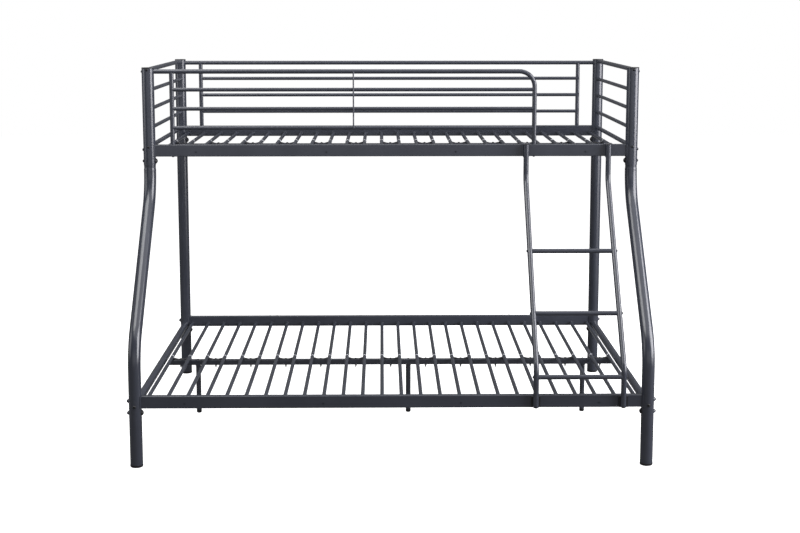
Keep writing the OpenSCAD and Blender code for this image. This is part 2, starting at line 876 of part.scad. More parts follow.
module lower_beam() {
    color(frame_grey) beam(y_lower_beam, lower_slat_z)
        at_supports() translate([0, 0, -overrun])
            cylinder(d = screw_d + 2 * bolt_fit, h = beam_side + 2 * overrun);
}

// The outline of a clip: a cradle on the beam, hollowed on top between two slats
module clip_outline() {
    half = slat_pitch / 2 - slat_d / 4;
    low = -slat_d / 2;
    difference() {
        polygon([[-half, low], [half, low], [half, 0], [clip_flat / 2, low + clip_t],
                 [-clip_flat / 2, low + clip_t], [-half, 0]]);
        for (side = [-1, 1]) translate([side * slat_pitch / 2, 0])
            circle(d = slat_d + 2 * seat_gap);
    }
}

module clips(y_beam, z) {
    at_clips(y_beam, z) difference() {
        translate([0, clip_w / 2, 0]) rotate([90, 0, 0])
            linear_extrude(height = clip_w) clip_outline();
        translate([0, 0, -slat_d]) cylinder(d = screw_d + 2 * bolt_fit, h = slat_d);
    }
}

module upper_slat_clips() {
    color(cap_black) clips(y_upper_beam, upper_slat_z);
}

module lower_slat_clips() {
    color(cap_black) clips(y_lower_beam, lower_slat_z);
}

// A round-headed screw that hangs from its seat at the origin
module screw(length) {
    translate([0, 0, -length]) cylinder(d = screw_d, h = length);
    difference() {
        dome(screw_head_d, screw_head_h);
        translate([0, 0, screw_head_h - socket_deep])
            cylinder(d = socket_d, h = socket_deep + overrun, $fn = 6);
    }
}

module clip_screws() {
    seat = clip_t - slat_d / 2;
    color(bolt_black) {
        at_clips(y_upper_beam, upper_slat_z + seat + 2 * seat_gap)
            screw(clip_t + beam_side + tip_nut_l / 2);
        at_clips(y_lower_beam, lower_slat_z + seat + 2 * seat_gap)
            screw(clip_t + beam_side + tip_nut_l / 2);
    }
}

module tip_nut() {
    translate([0, 0, -tip_nut_l - seat_gap]) difference() {
        cylinder(d1 = tip_nut_d / 3, d2 = tip_nut_d, h = tip_nut_l);
        translate([0, 0, tip_nut_l / 2 - slip_fit])
            cylinder(d = screw_d + 2 * seat_gap, h = tip_nut_l);
    }
}

module clip_nuts() {
    color(bolt_black) {
        at_clips(y_upper_beam, upper_slat_z - beam_drop - seat_gap) tip_nut();
        at_clips(y_lower_beam, lower_slat_z - beam_drop - seat_gap) tip_nut();
    }
}

module support_brackets() {
    outer = beam_side + 2 * bracket_t + 2 * seat_gap;
    color(frame_grey) at_supports() difference() {
        translate([-support_d / 2, -outer / 2, -bracket_t - seat_gap])
            cube([support_d, outer, bracket_t + seat_gap + bracket_cheek]);
        translate([-support_d / 2 - overrun, -beam_side / 2 - seat_gap, -seat_gap])
            cube([support_d + 2 * overrun, beam_side + 2 * seat_gap, bracket_cheek + overrun]);
        translate([0, 0, -bracket_t - overrun])
            cylinder(d = screw_d + 2 * bolt_fit, h = bracket_t + 2 * overrun);
    }
}

module support_legs() {
    top = lower_slat_z - beam_drop - bracket_t - 3 * seat_gap;
    color(frame_grey) for (share = support_bay_shares)
        translate([share * slat_span, y_lower_beam, support_foot_h])
            tube(support_d, support_wall, top - support_foot_h);
}

// The threaded core under a bracket and the rounded foot share one body
module support_feet() {
    foot_r = support_d / 2 + cap_rim;
    edge = foot_r / 2;
    color(cap_black) for (share = support_bay_shares)
        translate([share * slat_span, y_lower_beam, 0]) {
            rotate_extrude() {
                square([foot_r - edge, support_foot_h - seat_gap]);
                translate([0, edge]) square([foot_r, support_foot_h - seat_gap - edge]);
                intersection() {
                    translate([foot_r - edge, edge]) circle(r = edge);
                    translate([foot_r - edge, 0]) square([edge, edge]);
                }
            }
            translate([0, 0, support_foot_h - seat_gap])
                cylinder(d = support_d - 2 * support_wall - 2 * slip_fit, h = cap_spigot);
        }
}

module support_screws() {
    color(bolt_black) at_supports() translate([0, 0, beam_side + seat_gap])
        screw(beam_side + bracket_t + plug_l / 2);
}

// Guards

module guard_front_tube() {
    start = -post_x;
    bend_x = guard_right_x - guard_bend_r;
    bend_z = guard_z - guard_bend_r;
    foot_z = upper_rail_top + seat_gap;
    color(frame_grey) difference() {
        translate([0, y_upper, 0]) union() {
            translate([start, 0, guard_z]) tube_x(guard_d, guard_wall, bend_x - start);
            translate([bend_x, 0, bend_z]) rotate([90, 0, 0]) rotate_extrude(angle = 90)
                translate([guard_bend_r, 0]) ring_section(guard_d, guard_wall);
            translate([guard_right_x, 0, foot_z]) tube(guard_d, guard_wall, bend_z - foot_z);
        }
        translate([start, y_upper, guard_z - guard_d]) cylinder(r = post_cope, h = 2 * guard_d);
    }
}

// A guard post between the rail's top and the top tube
module guard_post(x, y) {
    translate([x, y, upper_rail_top + seat_gap]) difference() {
        tube(guard_d, guard_wall, guard_z - upper_rail_top);
        translate([0, 0, guard_z - upper_rail_top - seat_gap]) rod_x(2 * bar_cope, 4 * guard_d);
    }
}

module guard_posts() {
    color(frame_grey) {
        guard_post(guard_left_x, y_upper);
        guard_post(guard_left_x, y_rear);
        guard_post(-guard_left_x, y_rear);
    }
}

// The bars between two guard posts, coped to both
module guard_bars(first_x, second_x, y) {
    for (step = bar_steps) translate([0, y, guard_bar_z - step * bar_pitch]) difference() {
        translate([first_x, 0, 0]) tube_x(bar_d, guard_wall, second_x - first_x);
        for (x = [first_x, second_x]) translate([x, 0, -bar_d])
            cylinder(r = bar_cope, h = 2 * bar_d);
    }
}

module guard_front_bars() {
    color(frame_grey) guard_bars(guard_left_x, guard_right_x, y_upper);
}

module guard_rear_bars() {
    color(frame_grey) guard_bars(guard_left_x, -guard_left_x, y_rear);
}

// The rod stands in front of the bars, from the top tube to the lowest bar
module guard_front_rod() {
    rod_x0 = (guard_left_x + guard_right_x) / 2;
    low_z = guard_bar_z - 2 * bar_pitch;
    rod_y = y_upper - bar_d / 2 - rod_d / 2 - seat_gap;
    color(frame_grey) difference() {
        translate([rod_x0, rod_y, low_z]) cylinder(d = rod_d, h = guard_z - low_z);
        translate([rod_x0, y_upper, guard_z]) rod_x(2 * bar_cope, 4 * guard_d);
    }
}

module guard_rear_tube() {
    color(frame_grey) translate([0, y_rear, guard_z]) difference() {
        translate([-post_x, 0, 0]) tube_x(guard_d, guard_wall, post_span);
        for (side = [-1, 1]) translate([side * post_x, 0, -guard_d])
            cylinder(r = post_cope, h = 2 * guard_d);
    }
}

// The four places where a bolt comes up through an upper rail into a guard post
module at_guard_feet() {
    for (x = [guard_left_x, guard_right_x]) translate([x, y_upper, upper_deck_z]) children();
    for (x = [guard_left_x, -guard_left_x]) translate([x, y_rear, upper_deck_z]) children();
}

module guard_bolts() {
    color(bolt_black) at_guard_feet() translate([0, 0, -seat_gap]) rotate([0, -90, 0])
        bolt_x(thin_bolt_d, rail_h + plug_l, thin_head_d, thin_head_h);
}

module guard_end_bolts() {
    length = post_d + plug_l;
    color(bolt_black) {
        translate([-post_x, y_upper, guard_z]) translate([-post_r - seat_gap, 0, 0])
            bolt_x(thin_bolt_d, length, thin_head_d, thin_head_h);
        for (side = [-1, 1]) translate([side * post_x, y_rear, guard_z]) scale_side(side)
            translate([-post_r - seat_gap, 0, 0])
                bolt_x(thin_bolt_d, length, thin_head_d, thin_head_h);
    }
}

// A threaded plug for a thin tube, bored for its bolt
module threaded_plug(bore_d) {
    difference() {
        cylinder(d = bore_d - 2 * slip_fit, h = plug_l);
        translate([0, 0, -overrun])
            cylinder(d = thin_bolt_d + 2 * seat_gap, h = plug_l + 2 * overrun);
    }
}

module guard_plugs() {
    color(bolt_black) {
        at_guard_feet() translate([0, 0, rail_h + 2 * seat_gap]) threaded_plug(guard_d - 2 * guard_wall);
        translate([-post_x + post_r + seat_gap, y_upper, guard_z]) rotate([0, 90, 0]) threaded_plug(guard_d - 2 * guard_wall);
        for (side = [-1, 1]) translate([side * post_x, y_rear, guard_z]) scale_side(side)
            translate([post_r + seat_gap, 0, 0]) rotate([0, 90, 0]) threaded_plug(guard_d - 2 * guard_wall);
    }
}

// A push-in plug with its head's seat at the origin and its stem towards +X
module hole_plug() {
    rotate([0, 90, 0]) cylinder(d = thin_bolt_d, h = plug_stem);
    translate([-plug_head_h, 0, 0]) rotate([0, 90, 0])
        cylinder(d1 = plug_head_d * 0.8, d2 = plug_head_d, h = plug_head_h);
}

module hole_plugs() {
    color(cap_black) {
        translate([post_x + post_r + seat_gap, y_upper, guard_z]) rotate([0, 0, 180]) hole_plug();
        for (side = [-1, 1]) {
            translate([side * rail_plug_x, y_lower, lower_rail_top + seat_gap])
                rotate([0, 90, 0]) hole_plug();
            for (step = [-1, 1])
                translate([side * rail_plug_x + step * plug_half_gap, y_rear, lower_rail_top + seat_gap])
                    rotate([0, 90, 0]) hole_plug();
        }
    }
}

// Ladder

module ladder_rail(x) {
    slope_z = ladder_tangent * cos(ladder_angle);
    slope_y = ladder_tangent * sin(ladder_angle);
    run = sqrt(ladder_run * ladder_run + ladder_fall * ladder_fall) - 2 * ladder_tangent;
    top_start = ladder_bend_top + ladder_tangent;
    low_stop = ladder_bend_low - ladder_tangent;
    foot = ladder_foot_z + ladder_cap_h;
    translate([x, 0, 0]) difference() {
        union() {
            translate([0, ladder_y_top, top_start - bend_lap])
                tube(ladder_d, ladder_wall, ladder_top_z + bend_lap - top_start);
            translate([0, ladder_y_top - ladder_bend_r, top_start])
                bend_yz(ladder_bend_r, -ladder_angle, ladder_angle, ladder_d, ladder_wall);
            translate([0, ladder_y_low + slope_y, ladder_bend_low + slope_z])
                rotate([-ladder_angle, 0, 0]) translate([0, 0, -bend_lap])
                    tube(ladder_d, ladder_wall, run + 2 * bend_lap);
            translate([0, ladder_y_low + ladder_bend_r, low_stop])
                bend_yz(ladder_bend_r, 180 - ladder_angle, ladder_angle, ladder_d, ladder_wall);
            translate([0, ladder_y_low, foot])
                tube(ladder_d, ladder_wall, low_stop + bend_lap - foot);
        }
        at_rungs() rod_x(thin_bolt_d + 2 * bolt_fit, 4 * ladder_d);
    }
}

// The rungs' places in the ladder's side view; the lowest is on the upright part
module at_rungs() {
    for (step = [0, 1, 2]) {
        z = rung_low_z + step * rung_pitch;
        climb = max(0, z - ladder_bend_low);
        translate([0, ladder_y_low + climb * tan(ladder_angle) + (step == 0 ? rung_nudge() : 0), z])
            children();
    }
}

// How far the bend has already moved the ladder's rail at the lowest rung
function rung_nudge() = rung_low_z > ladder_bend_low - ladder_tangent
    ? ladder_bend_r - sqrt(ladder_bend_r * ladder_bend_r
        - pow(rung_low_z - ladder_bend_low + ladder_tangent, 2)) : 0;

module ladder_rail_left() {
    color(frame_grey) ladder_rail(ladder_left_x);
}

module ladder_rail_right() {
    color(frame_grey) ladder_rail(ladder_right_x);
}

module ladder_rungs() {
    color(frame_grey) difference() {
        at_rungs() translate([ladder_left_x, 0, 0]) tube_x(rung_d, ladder_wall, ladder_w);
        for (x = [ladder_left_x, ladder_right_x]) translate([x, 0, 0]) ladder_cope();
    }
}

// The room that a ladder rail takes where the rungs meet it
module ladder_cope() {
    slope_z = ladder_tangent * cos(ladder_angle);
    slope_y = ladder_tangent * sin(ladder_angle);
    run = sqrt(ladder_run * ladder_run + ladder_fall * ladder_fall) - 2 * ladder_tangent;
    low_stop = ladder_bend_low - ladder_tangent;
    translate([0, ladder_y_low + slope_y, ladder_bend_low + slope_z])
        rotate([-ladder_angle, 0, 0]) cylinder(r = rung_cope, h = run);
    translate([0, ladder_y_low + ladder_bend_r, low_stop]) rotate([90, 0, 90])
        rotate([0, 0, 180 - ladder_angle]) rotate_extrude(angle = ladder_angle)
            translate([ladder_bend_r, 0]) circle(r = rung_cope);
    translate([0, ladder_y_low, ladder_foot_z]) cylinder(r = rung_cope, h = low_stop - ladder_foot_z);
}

module ladder_bolts() {
    color(bolt_black) at_rungs() {
        translate([ladder_left_x - ladder_r - seat_gap, 0, 0])
            bolt_x(thin_bolt_d, ladder_d + plug_l, thin_head_d, thin_head_h);
        translate([ladder_right_x + ladder_r + seat_gap, 0, 0]) rotate([0, 0, 180])
            bolt_x(thin_bolt_d, ladder_d + plug_l, thin_head_d, thin_head_h);
    }
}

module ladder_plugs() {
    color(bolt_black) at_rungs()
        for (x = [ladder_left_x + ladder_r + slip_fit, ladder_right_x - ladder_r - slip_fit - plug_l])
            translate([x, 0, 0]) rotate([0, 90, 0]) threaded_plug(rung_d - 2 * ladder_wall);
}

// A flat hook bent over the bed's rail, with rounded bends
module hook_outline() {
    reach = rail_w + 2 * ladder_gap;
    bend = hook_t * 0.8;
    difference() {
        union() {
            translate([-hook_t, -hook_front]) square([hook_t, hook_front + hook_t - bend]);
            translate([-hook_t + bend, 0]) square([reach + 2 * hook_t - 2 * bend, hook_t]);
            translate([reach, -hook_back]) square([hook_t, hook_back + hook_t - bend]);
            for (x = [-hook_t + bend, reach + hook_t - bend])
                translate([x, hook_t - bend]) circle(r = bend);
        }
        translate([0, -hook_front - overrun]) square([reach, hook_front + overrun]);
    }
}

// The cut that slants a plate's lower corner
module hook_corner(side) {
    rotate([90, 0, 0]) translate([0, 0, -rail_w]) linear_extrude(height = 3 * rail_w)
        polygon([[side * overrun, -overrun], [-side * hook_cut_w, -overrun], [-side * hook_cut_w, 0],
            [0, hook_cut_h], [side * overrun, hook_cut_h]]);
}

module ladder_hooks() {
    color(frame_grey) for (x = [ladder_left_x, ladder_right_x]) difference() {
        translate([x - hook_w / 2, y_upper - rail_w / 2 - ladder_gap, upper_rail_top + seat_gap])
            rotate([90, 0, 90]) linear_extrude(height = hook_w) hook_outline();
        translate([x, ladder_y_top, ladder_bend_top])
            cylinder(r = ladder_r + seat_gap, h = hook_front + 4 * rail_h);
        for (side = [-1, 1])
            translate([x + side * hook_w / 2, y_upper, upper_rail_top + seat_gap - hook_front])
                hook_corner(side);
    }
}

module ladder_pads() {
    depth = hook_t + ladder_r / 2;
    color(cap_black) for (x = [ladder_left_x, ladder_right_x]) difference() {
        translate([x - hook_w / 2, y_lower - rail_w / 2 - ladder_gap - depth, lower_deck_z + (rail_h - pad_h) / 2])
            cube([hook_w, depth, pad_h]);
        translate([x, ladder_y_low, 0]) cylinder(r = ladder_r + seat_gap, h = 2 * lower_rail_top);
    }
}

module ladder_caps() {
    edge = ladder_cap_h / 2;
    color(cap_black) for (x = [ladder_left_x, ladder_right_x]) {
        translate([x, ladder_y_low, ladder_foot_z]) {
            cylinder(r1 = ladder_r - edge, r2 = ladder_r, h = edge);
            translate([0, 0, edge]) cylinder(r = ladder_r, h = ladder_cap_h - edge - seat_gap);
            translate([0, 0, ladder_cap_h - seat_gap])
                cylinder(r = ladder_r - ladder_wall - slip_fit, h = cap_spigot);
        }
        translate([x, ladder_y_top, ladder_top_z + seat_gap]) {
            cylinder(r1 = ladder_r, r2 = ladder_r - edge, h = edge);
            translate([0, 0, -cap_spigot])
                cylinder(r = ladder_r - ladder_wall - slip_fit, h = cap_spigot);
        }
    }
}

leg_front_left();
leg_front_right();
leg_rear_left();
leg_rear_right();
foot_caps();
upper_post_front_left();
upper_post_front_right();
upper_post_rear_left();
upper_post_rear_right();
post_caps();
upper_rail_front();
upper_rail_rear();
lower_rail_front();
lower_rail_rear();
rail_saddles();
rail_bolts();
cross_bolts();
nut_caps();
bolt_washers();
lower_end_rail_left();
lower_end_rail_right();
end_rail_bolts();
end_rail_plugs();
end_top_tubes();
end_rungs();
end_deck_tubes();
end_panel_fixings();
upper_slats_front();
upper_slats_rear();
lower_slats_front();
lower_slats_rear();
slat_rings();
upper_beam();
lower_beam();
upper_slat_clips();
lower_slat_clips();
clip_screws();
clip_nuts();
support_legs();
support_feet();
support_brackets();
support_screws();
guard_front_tube();
guard_posts();
guard_front_bars();
guard_front_rod();
guard_rear_tube();
guard_rear_bars();
guard_bolts();
guard_end_bolts();
guard_plugs();
hole_plugs();
ladder_rail_left();
ladder_rail_right();
ladder_rungs();
ladder_hooks();
ladder_pads();
ladder_bolts();
ladder_plugs();
ladder_caps();
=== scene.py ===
"""Looks of the metal bunk bed: powder-coated tubes, moulded plastic caps, black
bolts and white slat rings, lit in a plain white room."""

import json
import math

import bpy
from mathutils import Matrix, Vector


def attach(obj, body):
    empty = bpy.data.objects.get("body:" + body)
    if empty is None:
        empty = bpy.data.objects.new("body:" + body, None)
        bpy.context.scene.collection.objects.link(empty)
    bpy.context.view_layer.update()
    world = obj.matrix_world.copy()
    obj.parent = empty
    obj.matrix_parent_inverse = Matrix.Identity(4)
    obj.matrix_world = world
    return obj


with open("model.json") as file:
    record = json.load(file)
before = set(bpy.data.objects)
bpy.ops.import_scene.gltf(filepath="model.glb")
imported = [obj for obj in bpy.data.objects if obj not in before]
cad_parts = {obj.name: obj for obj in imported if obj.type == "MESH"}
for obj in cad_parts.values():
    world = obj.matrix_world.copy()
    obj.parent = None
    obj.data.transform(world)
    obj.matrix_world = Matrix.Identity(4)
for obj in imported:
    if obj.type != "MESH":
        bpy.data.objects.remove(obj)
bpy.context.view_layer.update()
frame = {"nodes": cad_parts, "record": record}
scene = bpy.context.scene


# Node trees

def placed(tree, kind, values=None, **settings):
    """Adds a node with its settings and the fixed values of its inputs."""
    node = tree.nodes.new(kind)
    for key, value in settings.items():
        setattr(node, key, value)
    for key, value in (values or {}).items():
        node.inputs[key].default_value = value
    return node


def joined(tree, pairs):
    """Links pairs of sockets of a node tree."""
    for one, other in pairs:
        tree.links.new(one, other)


def sockets(tree, way, kind, names):
    """Gives a node group named sockets of one kind."""
    for name in names:
        tree.interface.new_socket(name=name, in_out=way, socket_type=kind)


# Finishes

# A speck's radius as a share of a grain cell, its share of the light tone, and the grain in metres
SPECK_RADIUS = 0.16
SPECK_LIGHTNESS = 0.25
GRAIN_DEPTH = 0.0004


def coated_skin():
    """Skin of a coated or moulded surface: slow tone, specks, roughness and fine grain."""
    tree = bpy.data.node_groups.new("coated skin", "ShaderNodeTree")
    sockets(tree, "INPUT", "NodeSocketFloat",
            ("Tone Size", "Grain Size", "Tone Depth", "Rough Low", "Rough High", "Grain Height"))
    sockets(tree, "INPUT", "NodeSocketColor", ("Dark", "Light"))
    sockets(tree, "OUTPUT", "NodeSocketColor", ("Color",))
    sockets(tree, "OUTPUT", "NodeSocketFloat", ("Roughness",))
    sockets(tree, "OUTPUT", "NodeSocketVector", ("Normal",))
    given = placed(tree, "NodeGroupInput")
    result = placed(tree, "NodeGroupOutput")
    coord = placed(tree, "ShaderNodeTexCoord")
    tone = placed(tree, "ShaderNodeTexNoise", {"Detail": 4, "Roughness": 0.55})
    grain = placed(tree, "ShaderNodeTexNoise", {"Detail": 2})
    cells = placed(tree, "ShaderNodeTexVoronoi")
    joined(tree, (
        (coord.outputs["Object"], tone.inputs["Vector"]),
        (coord.outputs["Object"], grain.inputs["Vector"]),
        (coord.outputs["Object"], cells.inputs["Vector"]),
        (given.outputs["Tone Size"], tone.inputs["Scale"]),
        (given.outputs["Grain Size"], grain.inputs["Scale"]),
        (given.outputs["Grain Size"], cells.inputs["Scale"]),
    ))
    # The colour: a slow change from dark to light, with a light speck in each cell.
    spread = placed(tree, "ShaderNodeMapRange", {"From Min": 0.35, "From Max": 0.65})
    wander = placed(tree, "ShaderNodeMath", operation="MULTIPLY")
    speck = placed(tree, "ShaderNodeMath", {1: SPECK_RADIUS}, operation="LESS_THAN")
    lightness = placed(tree, "ShaderNodeMath", {1: SPECK_LIGHTNESS}, operation="MULTIPLY_ADD")
    mix = placed(tree, "ShaderNodeMix", data_type="RGBA")
    joined(tree, (
        (tone.outputs["Fac"], spread.inputs["Value"]),
        (spread.outputs["Result"], wander.inputs[0]),
        (given.outputs["Tone Depth"], wander.inputs[1]),
        (cells.outputs["Distance"], speck.inputs[0]),
        (speck.outputs[0], lightness.inputs[0]),
        (wander.outputs[0], lightness.inputs[2]),
        (lightness.outputs[0], mix.inputs["Factor"]),
        (given.outputs["Dark"], mix.inputs["A"]),
        (given.outputs["Light"], mix.inputs["B"]),
        (mix.outputs["Result"], result.inputs["Color"]),
    ))
    # The roughness follows the tone, and the grain makes the bump.
    rough = placed(tree, "ShaderNodeMapRange")
    bump = placed(tree, "ShaderNodeBump", {"Distance": GRAIN_DEPTH})
    joined(tree, (
        (tone.outputs["Fac"], rough.inputs["Value"]),
        (given.outputs["Rough Low"], rough.inputs["To Min"]),
        (given.outputs["Rough High"], rough.inputs["To Max"]),
        (rough.outputs["Result"], result.inputs["Roughness"]),
        (grain.outputs["Fac"], bump.inputs["Height"]),
        (given.outputs["Grain Height"], bump.inputs["Strength"]),
        (bump.outputs["Normal"], result.inputs["Normal"]),
    ))
    return tree


SKIN = coated_skin()


def coated(name, dark, light, tone_size, grain_size, tone_depth, rough, grain_height,
           specular=0.5):
    """A finish: the shared skin with this finish's own values in one shader."""
    mat = bpy.data.materials.new(name)
    mat.use_nodes = True
    tree = mat.node_tree
    shader = tree.nodes["Principled BSDF"]
    shader.inputs["Specular IOR Level"].default_value = specular
    values = {"Dark": (*dark, 1), "Light": (*light, 1), "Tone Size": tone_size,
              "Grain Size": grain_size, "Tone Depth": tone_depth, "Rough Low": rough[0],
              "Rough High": rough[1], "Grain Height": grain_height}
    skin = placed(tree, "ShaderNodeGroup", values, node_tree=SKIN)
    joined(tree, (
        (skin.outputs["Color"], shader.inputs["Base Color"]),
        (skin.outputs["Roughness"], shader.inputs["Roughness"]),
        (skin.outputs["Normal"], shader.inputs["Normal"]),
    ))
    return mat


POWDER = coated("graphite powder coat", (0.026, 0.029, 0.039), (0.037, 0.041, 0.054),
                tone_size=5.0, grain_size=1100.0, tone_depth=0.55, rough=(0.19, 0.24),
                grain_height=0.03)
CAP = coated("black moulded cap", (0.006, 0.006, 0.007), (0.012, 0.012, 0.014),
             tone_size=14.0, grain_size=1600.0, tone_depth=0.6, rough=(0.38, 0.5),
             grain_height=0.1, specular=0.3)
CLIP = coated("black moulded clip", (0.012, 0.012, 0.015), (0.022, 0.022, 0.026),
              tone_size=12.0, grain_size=1500.0, tone_depth=0.6, rough=(0.42, 0.55),
              grain_height=0.1, specular=0.3)
RING = coated("white moulded ring", (0.72, 0.73, 0.76), (0.82, 0.83, 0.86),
              tone_size=20.0, grain_size=1400.0, tone_depth=0.6, rough=(0.35, 0.45),
              grain_height=0.1)
BOLT = coated("black oxide bolt", (0.005, 0.005, 0.006), (0.012, 0.012, 0.014),
              tone_size=40.0, grain_size=2400.0, tone_depth=0.7, rough=(0.3, 0.42),
              grain_height=0.1, specular=0.3)
WELD = coated("coated weld bead", (0.013, 0.015, 0.022), (0.021, 0.024, 0.034),
              tone_size=60.0, grain_size=700.0, tone_depth=0.6, rough=(0.3, 0.4),
              grain_height=0.3, specular=0.45)

FINISHES = {"frame": POWDER, "black_plastic": CAP, "slat_clips": CLIP, "white_plastic": RING,
            "fasteners": BOLT}
slot_of = {part["node"]: part["material_slot"] for part in frame["record"]["subparts"]}
for name, node in frame["nodes"].items():
    node.data.materials.clear()
    node.data.materials.append(FINISHES[slot_of[name]])


# Weld beads

# Places and radii of the bed's tubes, in metres, with Y from the lines of the posts
POST_SPAN = 2.030
POST_X = POST_SPAN / 2
POST_R = 0.0254
UPPER_DEPTH = 0.970
LOWER_DEPTH = 1.465
Y_REAR = 0.7368
Y_UPPER = Y_REAR - UPPER_DEPTH
Y_LOWER = Y_REAR - LOWER_DEPTH
RAIL_HALF = 0.0125
SLAT_R = 0.008
SLAT_COUNT = 26
SLAT_INSET = 0.034
SLAT_SPAN = POST_SPAN - 2 * SLAT_INSET
SLAT_PITCH = SLAT_SPAN / (SLAT_COUNT - 1)
SLATS = [-SLAT_SPAN / 2 + i * SLAT_PITCH for i in range(SLAT_COUNT)]
UPPER_SLAT_Z = 1.2005
LOWER_SLAT_Z = 0.2525
RUNG_R = 0.008
RUNG_Z = [1.464, 1.384, 1.304]
BAR_Z = [1.467, 1.387, 1.307]
GUARD_POST_R = 0.0095
GUARD_LEFT = -0.917
GUARD_RIGHT = 0.603
# The guard's seams run half a millimetre inside the surface of its 16 mm bars.
GUARD_SEAM_R = 0.0075

# Thickness of the beads as a radius in metres, their facets and their uneven swell
PANEL_BEAD_R = 0.0013
GUARD_BEAD_R = 0.0011
SLAT_BEAD_R = 0.0012
BEAD_SEGMENTS = 18
BEAD_SIDES = 6
BEAD_UNEVENNESS = 0.9
SWELL_SCALE = 420.0
NOISE_MIDDLE = 0.5


def weld_tree():
    """Lays an uneven bead round the seam of a tube on its host at every given point."""
    tree = bpy.data.node_groups.new("weld beads", "GeometryNodeTree")
    sockets(tree, "INPUT", "NodeSocketGeometry", ("Seams",))
    sockets(tree, "INPUT", "NodeSocketFloat",
            ("Tube Radius", "Host Radius", "Bead Radius", "Unevenness"))
    sockets(tree, "INPUT", "NodeSocketInt", ("Seed",))
    sockets(tree, "INPUT", "NodeSocketMaterial", ("Finish",))
    sockets(tree, "OUTPUT", "NodeSocketGeometry", ("Beads",))
    given = placed(tree, "NodeGroupInput")
    result = placed(tree, "NodeGroupOutput")
    # The seam: a circle lifted onto the host's round side, or left flat without one.
    circle = placed(tree, "GeometryNodeCurvePrimitiveCircle", {"Resolution": BEAD_SEGMENTS})
    place = placed(tree, "GeometryNodeInputPosition")
    parts = placed(tree, "ShaderNodeSeparateXYZ")
    host_square = placed(tree, "ShaderNodeMath", operation="MULTIPLY")
    across_square = placed(tree, "ShaderNodeMath", operation="MULTIPLY")
    rest = placed(tree, "ShaderNodeMath", operation="SUBTRACT")
    above_zero = placed(tree, "ShaderNodeMath", {1: 0.0}, operation="MAXIMUM")
    rise = placed(tree, "ShaderNodeMath", operation="SQRT")
    lift = placed(tree, "ShaderNodeCombineXYZ")
    seam = placed(tree, "GeometryNodeSetPosition")
    joined(tree, (
        (given.outputs["Tube Radius"], circle.inputs["Radius"]),
        (place.outputs["Position"], parts.inputs["Vector"]),
        (given.outputs["Host Radius"], host_square.inputs[0]),
        (given.outputs["Host Radius"], host_square.inputs[1]),
        (parts.outputs["X"], across_square.inputs[0]),
        (parts.outputs["X"], across_square.inputs[1]),
        (host_square.outputs[0], rest.inputs[0]),
        (across_square.outputs[0], rest.inputs[1]),
        (rest.outputs[0], above_zero.inputs[0]),
        (above_zero.outputs[0], rise.inputs[0]),
        (rise.outputs[0], lift.inputs["Z"]),
        (circle.outputs["Curve"], seam.inputs["Geometry"]),
        (lift.outputs["Vector"], seam.inputs["Offset"]),
    ))
    # The bead along the seam, set at each point with that point's turn.
    section = placed(tree, "GeometryNodeCurvePrimitiveCircle", {"Resolution": BEAD_SIDES})
    bead = placed(tree, "GeometryNodeCurveToMesh")
    turn = placed(tree, "GeometryNodeInputNamedAttribute", {"Name": "turn"},
                  data_type="FLOAT_VECTOR")
    rotation = placed(tree, "FunctionNodeEulerToRotation")
    spread = placed(tree, "GeometryNodeInstanceOnPoints")
    real = placed(tree, "GeometryNodeRealizeInstances")
    joined(tree, (
        (given.outputs["Bead Radius"], section.inputs["Radius"]),
        (seam.outputs["Geometry"], bead.inputs["Curve"]),
        (section.outputs["Curve"], bead.inputs["Profile Curve"]),
        (turn.outputs["Attribute"], rotation.inputs["Euler"]),
        (given.outputs["Seams"], spread.inputs["Points"]),
        (bead.outputs["Mesh"], spread.inputs["Instance"]),
        (rotation.outputs["Rotation"], spread.inputs["Rotation"]),
        (spread.outputs["Instances"], real.inputs["Geometry"]),
    ))
    # The uneven swell of each bead.
    swell = placed(tree, "ShaderNodeTexNoise", {"Scale": SWELL_SCALE, "Detail": 1.0},
                   noise_dimensions="4D")
    centred = placed(tree, "ShaderNodeMath", {1: NOISE_MIDDLE}, operation="SUBTRACT")
    depth = placed(tree, "ShaderNodeMath", operation="MULTIPLY")
    height = placed(tree, "ShaderNodeMath", operation="MULTIPLY")
    normal = placed(tree, "GeometryNodeInputNormal")
    push = placed(tree, "ShaderNodeVectorMath", operation="SCALE")
    uneven = placed(tree, "GeometryNodeSetPosition")
    smooth = placed(tree, "GeometryNodeSetShadeSmooth")
    finish = placed(tree, "GeometryNodeSetMaterial")
    joined(tree, (
        (given.outputs["Seed"], swell.inputs["W"]),
        (swell.outputs["Fac"], centred.inputs[0]),
        (given.outputs["Bead Radius"], depth.inputs[0]),
        (given.outputs["Unevenness"], depth.inputs[1]),
        (centred.outputs[0], height.inputs[0]),
        (depth.outputs[0], height.inputs[1]),
        (normal.outputs["Normal"], push.inputs[0]),
        (height.outputs[0], push.inputs["Scale"]),
        (real.outputs["Geometry"], uneven.inputs["Geometry"]),
        (push.outputs["Vector"], uneven.inputs["Offset"]),
        (uneven.outputs["Geometry"], smooth.inputs["Geometry"]),
        (smooth.outputs["Geometry"], finish.inputs["Geometry"]),
        (given.outputs["Finish"], finish.inputs["Material"]),
        (finish.outputs["Geometry"], result.inputs["Beads"]),
    ))
    return tree


WELDS = weld_tree()


def seam_at(point, direction):
    """A seam's place and turn, with Z along the tube and Y along the upright host."""
    z = Vector(direction)
    x = Vector((abs(z.y), abs(z.x), 0))
    turn = Matrix((x, z.cross(x), z)).transposed().to_euler()
    return Vector(point), Vector(turn)


